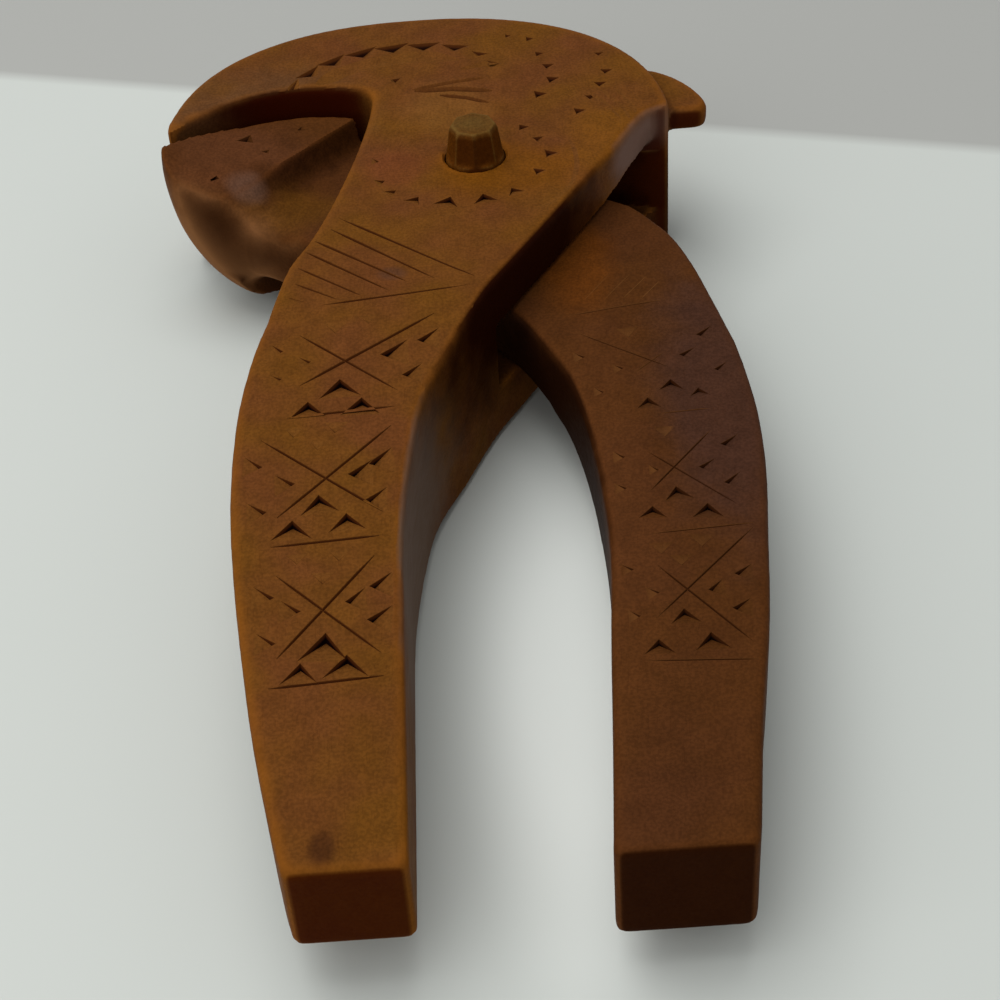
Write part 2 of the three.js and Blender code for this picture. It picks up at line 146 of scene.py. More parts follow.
INNER_CROSSES = [
    {
        "strokes": [
            (0.42, 0.24, (14.0, -39.1), (26.8, -49.4)),
            (0.36, 0.16, (26.5, -45.7), (21.6, -50.5)),
            (0.4, 0.20, (24.6, -60.8), (31.6, -60.4)),
        ],
        "right": [(33.0, -40.6, 4.0), (29.8, -45.6, 3.8), (34.5, -49.8, 4.0)],
        "left": [(13.9, -44.6, 3.2), (19.5, -48.2, 3.0), (16.1, -53.8, 3.0)],
        "below": [(26.8, -53.4, 4.4), (23.0, -57.5, 3.9), (30.7, -55.8, 3.5)],
        "above": [(21.6, -40.4, 3.8)],
    },
    {
        "strokes": [
            (0.48, 0.28, (31.2, -65.6), (21.3, -78.2)),
            (0.42, 0.24, (21.6, -69.4), (33.0, -82.6)),
            (0.42, 0.24, (20.4, -87.4), (34.4, -86.6)),
        ],
        "right": [(33.3, -67.8, 4.3), (29.5, -72.7, 4.2), (32.7, -76.4, 4.3)],
        "left": [(17.7, -69.5, 3.2), (22.3, -73.0, 2.8), (17.3, -76.5, 3.2)],
        "below": [(24.9, -78.6, 4.6), (21.1, -82.4, 4.4), (28.7, -82.7, 4.6)],
        "above": [(24.6, -65.6, 4.0)],
    },
    {
        "strokes": [
            (0.48, 0.28, (34.2, -87.6), (19.3, -104.2)),
            (0.48, 0.28, (20.6, -94.0), (31.2, -109.7)),
            (0.42, 0.26, (17.3, -111.8), (32.2, -112.9)),
        ],
        "right": [(31.5, -95.5, 4.4), (27.6, -98.3, 4.2), (30.4, -102.1, 4.5)],
        "left": [(16.6, -93.5, 3.4), (19.6, -98.4, 3.2), (16.7, -102.6, 3.4)],
        "below": [(23.1, -103.5, 4.7), (19.2, -108.9, 4.7), (26.0, -108.4, 4.9)],
        "above": [(21.4, -91.0, 3.8), (27.0, -90.0, 4.0), (23.8, -93.6, 3.8)],
    },
]
# The turn in which a chip's point looks at its cross from each side, and how deep the chips are for
# their width
LOOKS = {"right": pi / 2, "left": -pi / 2, "below": 0.0, "above": pi}
YOKE_DEPTHS = {"right": 0.17, "left": 0.14, "below": 0.17, "above": 0.06}
INNER_DEPTHS = {"right": 0.17, "left": 0.12, "below": 0.18, "above": 0.09}

# Nicks in front of the peg that look at it, and pits pricked with the knife's tip beside it, on the
# head's right and once on its left: (across, along, width)
PEG_NICKS = [
    (-16.4, 0.3, 2.4), (-15.5, -6.1, 2.8), (-13.7, -9.4, 3.2), (-10.0, -12.0, 3.9), (-4.7, -13.0, 4.6),
    (1.0, -12.8, 4.8), (5.8, -11.4, 3.2),
]
PITS = [
    (10.1, -6.1, 2.6), (12.3, -0.7, 2.9), (10.6, 4.1, 2.4), (8.3, 8.3, 2.5),
    (12.5, 33.4, 2.1), (13.8, 28.8, 2.5), (14.2, 24.0, 2.9), (11.7, 19.1, 2.8),
    (7.3, 40.9, 1.6), (11.1, 39.2, 1.8),
    (23.2, 31.8, 1.9), (23.9, 25.5, 2.4), (22.5, 21.1, 2.5), (20.5, 16.8, 2.4), (18.1, 12.4, 2.5),
    (-13.3, 27.2, 2.4),
]
# Teeth in a row behind the mouth, deep along their back edge: (across, along, width, length, depth)
TOOTH_ROW = [
    (-31.3, 27.6, 5.6, 2.6, 0.75), (-28.4, 32.0, 6.4, 3.0, 0.9), (-24.3, 35.7, 6.9, 3.4, 1.0),
    (-19.1, 38.1, 7.1, 3.5, 1.05), (-13.6, 39.2, 7.3, 3.5, 1.05), (-8.0, 39.2, 7.1, 3.4, 1.0),
    (-2.4, 38.0, 6.0, 2.8, 0.85), (2.0, 34.9, 4.0, 1.8, 0.6), (4.2, 31.1, 3.4, 1.6, 0.5),
]
TOOTH_CENTRE = (-8.0, 12.0)
# Small dents in the jaw block's crown: (across, along, width, height of the wood there)
CROWN_DENTS = [
    (-39.6, 16.6, 2.4, 26.1), (-36.0, 12.6, 1.5, 26.05), (-45.8, 9.2, 1.1, 26.5), (-44.4, 4.4, 1.2, 26.3),
    (-30.2, 19.3, 1.8, 26.05),
]


# Small helpers

def keep(name, data):
    piece = bpy.data.objects.new(name, data)
    bpy.context.scene.collection.objects.link(piece)
    return piece


def drop(piece):
    mesh = piece.data
    bpy.data.objects.remove(piece)
    if mesh.users == 0:
        bpy.data.meshes.remove(mesh)


def set_all(thing, settings):
    for name, value in settings.items():
        setattr(thing, name, value)


def modify(piece, kind, **settings):
    set_all(piece.modifiers.new(kind.lower(), kind), settings)


def rework(mesh, work):
    """Lets a function work on the mesh's points and faces."""
    shape = bmesh.new()
    shape.from_mesh(mesh)
    work(shape)
    shape.to_mesh(mesh)
    shape.free()


def settle(piece):
    """Replaces the piece's mesh by what its modifiers make of it."""
    graph = bpy.context.evaluated_depsgraph_get()
    mesh = bpy.data.meshes.new_from_object(piece.evaluated_get(graph))
    piece.modifiers.clear()
    old = piece.data
    piece.data = mesh
    if old.users == 0:
        bpy.data.meshes.remove(old)
    return piece


def run_tree(piece, tree, values):
    """Sends the piece through a geometry tree, with values for the tree's named inputs."""
    modifier = piece.modifiers.new("work", "NODES")
    modifier.node_group = tree
    for item in tree.interface.items_tree:
        if item.item_type == "SOCKET" and item.in_out == "INPUT" and item.name in values:
            modifier[item.identifier] = values[item.name]
    return settle(piece)


def new_tree(tree_kind, tree_name, inputs, outputs):
    """A node tree with named inputs (kind, name, value) and outputs (kind, name), and the sockets
    inside it that give the one and take the other."""
    tree = bpy.data.node_groups.new(tree_name, tree_kind)
    for kind, name, value in inputs:
        socket = tree.interface.new_socket(name, in_out="INPUT", socket_type="NodeSocket" + kind)
        if value is not None:
            socket.default_value = value
    for kind, name in outputs:
        tree.interface.new_socket(name, in_out="OUTPUT", socket_type="NodeSocket" + kind)
    return tree, tree.nodes.new("NodeGroupInput").outputs, tree.nodes.new("NodeGroupOutput").inputs


def step(tree, kind, inputs=None, **settings):
    """Adds a node, with its settings and with plain values or other nodes' outputs on its inputs."""
    node = tree.nodes.new(kind)
    set_all(node, settings)
    for name, value in (inputs or {}).items():
        if isinstance(value, bpy.types.NodeSocket):
            tree.links.new(value, node.inputs[name])
        else:
            node.inputs[name].default_value = value
    return node


def calc(tree, operation, first, second, third=None):
    inputs = {0: first, 1: second}
    if third is not None:
        inputs[2] = third
    return step(tree, "ShaderNodeMath", inputs, operation=operation).outputs[0]


def times(tree, first, second):
    return calc(tree, "MULTIPLY", first, second)


def ramp(tree, value, start, end, first=0.0, last=1.0, soft=False):
    """Goes from `first` to `last` while the value goes from `start` to `end`."""
    return step(tree, "ShaderNodeMapRange", {
        "Value": value, "From Min": start, "From Max": end, "To Min": first, "To Max": last,
    }, interpolation_type="SMOOTHSTEP" if soft else "LINEAR").outputs[0]


def vector_calc(tree, operation, *values):
    return step(tree, "ShaderNodeVectorMath", dict(enumerate(values)), operation=operation).outputs[0]


def scaled(tree, vector, amount):
    inputs = {0: vector, "Scale": amount}
    return step(tree, "ShaderNodeVectorMath", inputs, operation="SCALE").outputs[0]


def length_of(tree, vector):
    return step(tree, "ShaderNodeVectorMath", {0: vector}, operation="LENGTH").outputs["Value"]


def part_along(tree, vector, way):
    """How far a vector goes that way. For a normal, 1 says that the surface faces that way."""
    inputs = {0: vector, 1: way}
    return step(tree, "ShaderNodeVectorMath", inputs, operation="DOT_PRODUCT").outputs["Value"]


def share_away(tree, spot, centre, reach):
    """How far a spot is from a centre, as a share of the reach along each axis."""
    return length_of(tree, vector_calc(tree, "DIVIDE", vector_calc(tree, "SUBTRACT", spot, centre), reach))


def noise(tree, rate, spot=None, detail=2.0, roughness=0.5):
    inputs = {"Scale": rate, "Detail": detail, "Roughness": roughness}
    if spot is not None:
        inputs["Vector"] = spot
    return step(tree, "ShaderNodeTexNoise", inputs).outputs


def object_spot(tree):
    return step(tree, "ShaderNodeTexCoord").outputs["Object"]


# Shader node groups that the woods share

# Object coordinates come in metres, and the grain is given in mm
IN_MM = (1 / MM, 1 / MM, 1 / MM)
# How fast the fibres wander, how far, and how much fibres and bands are drawn out along the lever
WANDER_RATE = 0.035
WANDER = (7.0, 0.0, 7.0)
FIBRE_STRETCH = (1.0, 0.06, 1.0)
BAND_STRETCH = (1.0, 0.12, 1.0)
# Pores are finer than fibres, and only the peaks of their noise are pores
PORE_FINENESS = 2.2
PORE_RANGE = (0.62, 0.72)
# Nearly all of a noise lies in this range
NOISE_RANGE = (0.3, 0.7)
MOTTLES_PER_PATCH = 5.0
# Rubbed edges are broken up: how finely, how much, and what is left where they are least rubbed
SCUFF_RATE = 160.0
SCUFF_SPREAD = 1.6
SCUFF_LEAST = 0.2
# A soft spot is full to this share of its reach, its edge is ragged, and wood that faces its way
# less than the range's start is left out
SPOT_CORE = 0.35
SPOT_RATE = 120.0
SPOT_RAGGED = 0.7
SIDE_RANGE = (0.25, 0.65)


def wood_grain():
    """Fine fibres, soft bands and dark pores that run along the lever."""
    tree, given, result = new_tree(
        "ShaderNodeTree", "wood grain",
        [("Float", "Turn", 0.0), ("Float", "Fibre Width", 0.5), ("Float", "Band Width", 5.0)],
        [("Float", "Fibres"), ("Float", "Bands"), ("Float", "Pores")],
    )
    turn = step(tree, "ShaderNodeCombineXYZ", {"Z": given["Turn"]}).outputs[0]
    turned = step(tree, "ShaderNodeMapping", {
        "Vector": object_spot(tree), "Rotation": turn, "Scale": IN_MM,
    }).outputs[0]
    wander = noise(tree, WANDER_RATE, turned)["Color"]
    bent = vector_calc(tree, "MULTIPLY_ADD", wander, WANDER, turned)
    along_fibres = vector_calc(tree, "MULTIPLY", bent, FIBRE_STRETCH)
    along_bands = vector_calc(tree, "MULTIPLY", bent, BAND_STRETCH)
    fibre_rate = calc(tree, "DIVIDE", 1.0, given["Fibre Width"])
    band_rate = calc(tree, "DIVIDE", 1.0, given["Band Width"])
    fibres = noise(tree, fibre_rate, along_fibres, detail=3.0, roughness=0.6)["Fac"]
    bands = noise(tree, band_rate, along_bands, detail=3.0, roughness=0.55)["Fac"]
    pores = noise(tree, times(tree, fibre_rate, PORE_FINENESS), along_fibres, detail=1.0)["Fac"]
    tree.links.new(fibres, result["Fibres"])
    tree.links.new(bands, result["Bands"])
    tree.links.new(ramp(tree, pores, *PORE_RANGE), result["Pores"])
    return tree


def stain_patches():
    """Soft patches where the stain took differently, mottling and fine specks."""
    tree, given, result = new_tree(
        "ShaderNodeTree", "stain patches",
        [("Float", "Size", 14.0), ("Float", "Shift", 0.0), ("Float", "Speck Size", 0.4)],
        [("Float", "Patches"), ("Float", "Mottle"), ("Float", "Specks")],
    )
    in_mm = step(tree, "ShaderNodeMapping", {"Vector": object_spot(tree), "Scale": IN_MM}).outputs[0]
    shift = step(tree, "ShaderNodeCombineXYZ", dict.fromkeys("XYZ", given["Shift"])).outputs[0]
    there = vector_calc(tree, "ADD", in_mm, shift)
    for name, rate, detail in (
        ("Patches", calc(tree, "DIVIDE", 1.0, given["Size"]), 2.0),
        ("Mottle", calc(tree, "DIVIDE", MOTTLES_PER_PATCH, given["Size"]), 3.0),
        ("Specks", calc(tree, "DIVIDE", 1.0, given["Speck Size"]), 1.0),
    ):
        cloud = noise(tree, rate, there, detail, roughness=0.55)["Fac"]
        tree.links.new(ramp(tree, cloud, *NOISE_RANGE, soft=True), result[name])
    return tree


def wear_and_shade_measures():
    """Edges that hands have rubbed and hollows that keep the stain, from the piece's attributes, and
    how closed in and how sunk each place is, which the woods turn into painted shade.
    """
    tree, given, result = new_tree(
        "ShaderNodeTree", "worn edges",
        [("Float", "Start", 0.1), ("Float", "Full", 0.5)],
        [("Float", "Worn"), ("Float", "Hollow"), ("Float", "Closed"), ("Float", "Sunk")],
    )
    scuff = noise(tree, SCUFF_RATE, object_spot(tree), detail=4.0, roughness=0.6)["Fac"]
    uneven = calc(tree, "MULTIPLY_ADD", scuff, SCUFF_SPREAD, SCUFF_LEAST)
    bend = step(tree, "ShaderNodeAttribute", attribute_name="bend").outputs["Fac"]
    for name, value in (("Worn", times(tree, bend, uneven)), ("Hollow", times(tree, bend, -1.0))):
        tree.links.new(ramp(tree, value, given["Start"], given["Full"]), result[name])
    for name in ("Closed", "Sunk"):
        kept = step(tree, "ShaderNodeAttribute", attribute_name=name.lower()).outputs["Fac"]
        tree.links.new(kept, result[name])
    return tree


def soft_spot():
    """A soft round area about a place, broken up at its edge. Facing keeps it to wood that looks
    that way, and a zero there lets it lie on all sides."""
    tree, given, result = new_tree(
        "ShaderNodeTree", "soft spot",
        [
            ("Vector", "Centre", None), ("Vector", "Reach", (0.01, 0.01, 0.01)),
            ("Vector", "Facing", None),
        ],
        [("Float", "Mask")],
    )
    texture = step(tree, "ShaderNodeTexCoord").outputs
    away = share_away(tree, texture["Object"], given["Centre"], given["Reach"])
    cloud = noise(tree, SPOT_RATE, texture["Object"], detail=3.0)["Fac"]
    ragged = calc(tree, "ADD", away, calc(tree, "MULTIPLY_ADD", cloud, SPOT_RAGGED, -SPOT_RAGGED / 2))
    inside = ramp(tree, ragged, SPOT_CORE, 1.0, 1.0, 0.0, soft=True)
    side = ramp(tree, part_along(tree, texture["Normal"], given["Facing"]), *SIDE_RANGE)
    left_out = times(tree, length_of(tree, given["Facing"]), calc(tree, "SUBTRACT", 1.0, side))
    tree.links.new(times(tree, inside, calc(tree, "SUBTRACT", 1.0, left_out)), result["Mask"])
    return tree


GRAIN = wood_grain()
PATCHES = stain_patches()
WEAR_AND_SHADE = wear_and_shade_measures()
SPOT = soft_spot()


# Woods

# Places of a Mix node's colours among its sockets
MIX_FIRST = 6
MIX_SECOND = 7
MIX_RESULT = 2

# Sizes of the grain and specks, in mm, and the bends at which rubbing starts and is full
FIBRE_WIDTH = 0.5
BAND_WIDTH = 5.0
SPECK_SIZE = 0.45
WORN_START = 0.04
WORN_FULL = 0.24
# How strongly each effect shows, as a share, and how much specks and mottling darken and lighten
PATCH_SHARE = 0.6
BAND_SHARE = 0.30
FIBRE_SHARE = 0.26
PORE_SHARE = 0.22
HOLLOW_SHARE = 0.5
END_GRAIN_AND_SHADE_SHARE = 0.85
CREASE_SHADE_SHARE = 0.5
CLOSED_IN_SHADE_SHARE = 0.95
SPECK_RANGE = (0.87, 1.15)
MOTTLE_RANGE = (0.92, 1.1)
# Faces that lean this much to the front take the end grain colour: real end grain on the handles'
# ends, and painted shade on the other front faces
END_GRAIN_AND_SHADE_RANGE = (0.80, 0.97)
# Painted shade on the walls of a cut: how level a wall is where its painted shade is darkest and
# where it starts, the depths in metres from which walls take the dark and the deep colour, and the
# depths over which a crease darkens further
WALL_SHADE_RANGE = (0.62, 0.99)
WALL_SHADE_DEPTHS = (0.0, 0.00012)
WALL_DEEP_SHADE_DEPTHS = (0.00028, 0.0006)
CREASE_SHADE_DEPTHS = (0.0006, 0.0012)
# Painted light: slopes of a cut that lean to the right and the front are made paler
SLOPE_LIGHT_WAY = (0.7, -0.7, 0.0)
SLOPE_LIGHT_RANGE = (0.03, 0.12)
# Painted shade in closed in places: how closed in a place is where it starts to darken and where
# it is darkest
CLOSED_IN_SHADE_RANGE = (0.14, 0.44)
# Roughness varies with the fibres, and their relief is a fine bump
SMOOTHER = 0.06
ROUGHER = 0.08
PORE_RELIEF = 0.5
MOTTLE_RELIEF = 0.6
BUMP_STRENGTH = 0.25
BUMP_HEIGHT = 0.0001
OIL_SHINE = 0.01

NO_WAY = (0.0, 0.0, 0.0)
TO_RIGHT = (1.0, 0.0, 0.0)
TO_LEFT = (-1.0, 0.0, 0.0)
TO_FRONT = (0.0, -1.0, 0.0)
TO_CROTCH = (0.8, -0.6, 0.0)
TO_FRONT_LEFT = (-0.6, -0.8, 0.0)


def new_material(name):
    material = bpy.data.materials.new(name)
    material.use_nodes = True
    material.node_tree.nodes.clear()
    return material, material.node_tree


def use(tree, group, inputs):
    return step(tree, "ShaderNodeGroup", inputs, node_tree=group).outputs


def tint(red, green, blue):
    """A colour given in a screen's values, 0 to 255, as the linear colour that a shader takes."""
    def linear(value):
        share = value / 255
        return share / 12.92 if share <= 0.04045 else ((share + 0.055) / 1.055) ** 2.4
    return (linear(red), linear(green), linear(blue), 1.0)


def blend(tree, amount, first, second, mode="MIX"):
    inputs = {"Factor": amount, MIX_FIRST: first, MIX_SECOND: second}
    return step(tree, "ShaderNodeMix", inputs, data_type="RGBA", blend_type=mode).outputs[MIX_RESULT]


def grey(tree, value):
    inputs = dict.fromkeys(("Red", "Green", "Blue"), value)
    return step(tree, "ShaderNodeCombineColor", inputs).outputs[0]


def wood(name, tints, looks, spots=(), wear=0.0, cut=False, slope_light=0.0):
    """Oiled wood with a stain. `tints` are its base, dark fibre, patch, rubbed edge, end grain and closed
    in colours. The dark fibre colour is also painted shade on the walls of cuts, the end grain colour is
    also painted shade on the other faces that turn to the front, and the closed in colour is painted
    shade in closed in places and on the deepest walls and creases of cuts. `looks` are its grain turn,
    patch size, shift and roughness, and `spots` soft areas with another tint, some of the stain and
    some painted light, shade and reflection: (across, along, height), reach, tint, amount, and the way
    the wood there faces if it matters. `wear` is how much the rubbed edges show, and `slope_light` how
    much painted light makes the slopes of a cut paler."""
    turn, patch_size, shift, roughness = looks
    base, dark, patch, edge, end, deep = (tint(*value) for value in tints)
    material, tree = new_material(name)
    normal = step(tree, "ShaderNodeTexCoord").outputs["Normal"]
    grain = use(tree, GRAIN, {"Turn": turn, "Fibre Width": FIBRE_WIDTH, "Band Width": BAND_WIDTH})
    stain = use(tree, PATCHES, {"Size": patch_size, "Shift": shift, "Speck Size": SPECK_SIZE})
    wear_and_shade = use(tree, WEAR_AND_SHADE, {"Start": WORN_START, "Full": WORN_FULL})

    def covered(colour, mask, amount, other):
        return blend(tree, times(tree, mask, amount), colour, other)

    def add_stain_and_painted_light(colour, on_walls):
        for where, reach, other, amount, *ways in spots:
            if bool(ways) == on_walls:
                mask = use(tree, SPOT, {
                    "Centre": place(*where), "Reach": tuple(size * MM for size in reach),
                    "Facing": ways[0] if ways else NO_WAY,
                })["Mask"]
                colour = covered(colour, mask, amount, tint(*other))
        return colour

    colour = covered(base, stain["Patches"], PATCH_SHARE, patch)
    # Spots on all sides: tones of the stain, and on the jaw block painted light, shade and reflection
    colour = add_stain_and_painted_light(colour, on_walls=False)
    colour = covered(colour, grain["Bands"], BAND_SHARE, dark)
    colour = covered(colour, grain["Fibres"], FIBRE_SHARE, dark)
    colour = covered(colour, grain["Pores"], PORE_SHARE, dark)
    speckle = ramp(tree, stain["Specks"], 0.0, 1.0, *SPECK_RANGE)
    mottle = ramp(tree, stain["Mottle"], 0.0, 1.0, *MOTTLE_RANGE)
    colour = blend(tree, 1.0, colour, grey(tree, times(tree, speckle, mottle)), "MULTIPLY")
    colour = covered(colour, wear_and_shade["Worn"], wear, edge)
    colour = covered(colour, wear_and_shade["Hollow"], HOLLOW_SHARE, dark)
    # Spots kept to wood that faces one way: painted light, shade and reflection
    colour = add_stain_and_painted_light(colour, on_walls=True)
    if cut:
        # Painted light: slopes that lean to the right and the front take a paler colour
        pale = ramp(tree, part_along(tree, normal, SLOPE_LIGHT_WAY), *SLOPE_LIGHT_RANGE)
        colour = covered(colour, pale, slope_light, edge)
        # Painted shade: the steep walls of a cut darken with their depth, and its deepest creases further
        up = step(tree, "ShaderNodeSeparateXYZ", {0: normal}).outputs["Z"]
        steep = ramp(tree, up, *WALL_SHADE_RANGE, 1.0, 0.0, soft=True)
        for depths, shade in ((WALL_SHADE_DEPTHS, dark), (WALL_DEEP_SHADE_DEPTHS, deep)):
            colour = covered(colour, ramp(tree, wear_and_shade["Sunk"], *depths), steep, shade)
        colour = covered(colour, ramp(tree, wear_and_shade["Sunk"], *CREASE_SHADE_DEPTHS), CREASE_SHADE_SHARE, deep)
    else:
        # End grain on the handles' ends, and painted shade on all other faces that turn to the front
        end_grain_and_front_shade = ramp(tree, part_along(tree, normal, TO_FRONT), *END_GRAIN_AND_SHADE_RANGE)
        colour = covered(colour, end_grain_and_front_shade, END_GRAIN_AND_SHADE_SHARE, end)
    # Painted shade: places that their own wood closes in darken towards the closed in colour
    closed = ramp(tree, wear_and_shade["Closed"], *CLOSED_IN_SHADE_RANGE)
    colour = covered(colour, closed, CLOSED_IN_SHADE_SHARE, deep)
    rough = ramp(tree, grain["Fibres"], *NOISE_RANGE, roughness - SMOOTHER, roughness + ROUGHER)
    relief = calc(tree, "SUBTRACT", grain["Fibres"], times(tree, grain["Pores"], PORE_RELIEF))
    relief = calc(tree, "MULTIPLY_ADD", stain["Mottle"], MOTTLE_RELIEF, relief)
    bump = step(tree, "ShaderNodeBump", {
        "Height": relief, "Strength": BUMP_STRENGTH, "Distance": BUMP_HEIGHT,
    }).outputs[0]
    surface = step(tree, "ShaderNodeBsdfPrincipled", {
        "Base Color": colour, "Roughness": rough, "Normal": bump, "Specular IOR Level": OIL_SHINE,
    })
    step(tree, "ShaderNodeOutputMaterial", {"Surface": surface.outputs[0]})
    return material


# Soft areas where the stain is lighter, darker, redder or greyer, and others marked below that
# are painted light, shade and reflection, placed in mm as above
YOKE_SPOTS = [
    ((4.0, -5.0, 30.0), (17.0, 11.0, 8.0), (112, 66, 10), 0.75),
    ((-38.0, 16.0, 30.0), (24.0, 26.0, 8.0), (92, 62, 38), 0.8),
    ((-13.0, -3.0, 30.0), (8.0, 8.0, 8.0), (110, 58, 32), 0.6),
    ((24.0, 3.0, 30.0), (11.0, 15.0, 3.0), (120, 74, 16), 0.6),
    ((-4.0, 16.0, 30.0), (10.0, 12.0, 3.0), (124, 82, 34), 0.6),
    ((-23.3, -139.5, 22.5), (2.2, 3.6, 5.0), (46, 24, 14), 0.7),
    ((-14.0, -33.0, 30.0), (3.0, 2.4, 4.0), (82, 54, 38), 0.7),
    # Painted reflection: a grey sheen on the inner side of the left handle, which faces right
    ((-12.0, -82.0, 13.0), (14.0, 40.0, 22.0), (102, 84, 72), 0.85, TO_RIGHT),
    # Painted shade: near black on the sides that face the crotch
    ((4.0, -30.0, 27.0), (36.0, 42.0, 25.0), (28, 3, 0), 0.95, TO_CROTCH),
    # Painted reflection: a grey sheen on the cheek's side by the nose
    ((27.0, 7.0, 25.5), (15.0, 14.0, 6.5), (114, 88, 78), 0.9, TO_CROTCH),
    # Painted shade: dark on the head's low right side, by the mortise
    ((34.0, 20.0, 8.0), (22.0, 28.0, 22.0), (38, 16, 4), 0.8, TO_CROTCH),
    # Painted shade: near black on the lip's inner wall, which faces the front
    ((-34.0, 34.0, 22.0), (32.0, 24.0, 24.0), (34, 6, 1), 0.9, TO_FRONT),
]
INNER_SPOTS = [
    ((34.0, -58.0, 21.0), (14.0, 44.0, 9.0), (64, 42, 34), 0.8),
    ((15.0, -78.0, 21.0), (10.0, 60.0, 9.0), (90, 52, 24), 0.5),
    ((15.0, -20.0, 21.0), (9.0, 18.0, 6.0), (98, 52, 12), 0.8),
    ((-34.0, 2.0, 20.0), (14.0, 9.0, 7.0), (96, 60, 16), 0.8),
    ((-42.0, 10.0, 27.0), (18.0, 14.0, 8.0), (92, 54, 30), 0.8),
    # Painted light: the jaw block's front left is made lighter
    ((-46.0, -5.0, 17.0), (16.0, 13.0, 14.0), (122, 79, 45), 0.95),
    # Painted shade on the jaw block: darker along its rounded front edge and under the scoop's ridge
    ((-48.0, 8.0, 23.0), (5.5, 5.5, 4.0), (60, 34, 14), 0.6),
    ((-37.5, 5.0, 22.0), (4.0, 4.4, 4.0), (54, 28, 8), 0.6),
    ((-35.5, -4.0, 17.0), (7.0, 4.4, 4.4), (56, 32, 12), 0.6),
    ((-36.5, 8.5, 22.0), (4.2, 4.4, 6.0), (54, 28, 8), 0.85),
    ((-32.0, 14.5, 22.0), (4.2, 4.6, 6.0), (44, 22, 6), 0.9),
    # Painted reflection: a grey sheen on the crown by the scoop's ridge
    ((-39.2, 3.4, 25.0), (4.6, 4.4, 5.0), (112, 84, 70), 0.5),
    # Painted light on the jaw block's sides that face the front left
    ((-50.0, 2.0, 10.0), (24.0, 18.0, 20.0), (128, 86, 52), 0.9, TO_FRONT_LEFT),
    # Painted shade: dark on the inner lever's left wall in the crotch
    ((12.0, -50.0, 10.0), (16.0, 60.0, 26.0), (30, 12, 4), 0.9, TO_LEFT),
]
# The first of them lie on the handle, and the cuts there share them
HANDLE_SPOTS = INNER_SPOTS[:3]
PEG_TOP = ((0.0, 0.0, 38.0), (9.0, 9.0, 3.4), (100, 76, 36), 0.95)

yoke_wood = wood(
    "yoke wood",
    [(104, 65, 19), (70, 36, 10), (98, 53, 32), (134, 78, 20), (50, 10, 0), (14, 3, 2)],
    (0.0, 16.0, 3.0, 0.5), YOKE_SPOTS, wear=0.45,
)
yoke_cut = wood(
    "yoke cut wood",
    [(108, 68, 24), (62, 29, 9), (102, 60, 28), (124, 76, 24), (58, 17, 0), (14, 3, 4)],
    (0.0, 16.0, 3.0, 0.6), cut=True,
)
inner_wood = wood(
    "inner wood",
    [(80, 46, 18), (54, 27, 10), (74, 42, 24), (98, 54, 20), (32, 8, 0), (10, 2, 1)],
    (0.12, 20.0, 11.0, 0.5), INNER_SPOTS, wear=0.2,
)
# Its cuts get painted light on the slopes that lean to the right and the front
inner_cut = wood(
    "inner cut wood",
    [(78, 46, 18), (50, 24, 8), (72, 40, 16), (108, 68, 34), (36, 9, 0), (10, 3, 2)],
    (0.12, 20.0, 11.0, 0.6), HANDLE_SPOTS, cut=True, slope_light=0.6,
)
peg_wood = wood(
    "peg wood",
    [(88, 48, 8), (52, 24, 4), (80, 42, 8), (110, 84, 40), (54, 22, 2), (24, 8, 1)],
    (0.0, 4.0, 5.0, 0.55), [PEG_TOP], wear=0.5,
)


# Shapes

# Points of a frame piece closer than this are one point, in metres
SAME_POINT = 2e-6
# How much of the way to its neighbours' middle a point goes in one softening
SOFTENING = 0.5
# A noise is about a half, so this turns it into a cut of the full height on average
INWARDS = -2.0
# Where the place to be rounded starts to fade out, as a share of its reach
ROUND_CORE = 0.55
# Lines of sight from each point, and how far above the surface they start, in metres
SIGHT_LINES = 14
SIGHT_START = 0.0005


def merged_copy(node, name):
    """A copy of a frame piece's mesh with its loose triangles joined."""
    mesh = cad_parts[node].data.copy()
    rework(mesh, lambda shape: bmesh.ops.remove_doubles(shape, verts=shape.verts, dist=SAME_POINT))
    mesh.materials.clear()
    return keep(name, mesh)


def stored(tree, geometry, name, value):
    """Keeps a value on a shape's points as an attribute."""
    return step(tree, "GeometryNodeStoreNamedAttribute", {
        "Geometry": geometry, "Name": name, "Value": value,
    }, data_type="FLOAT", domain="POINT").outputs[0]


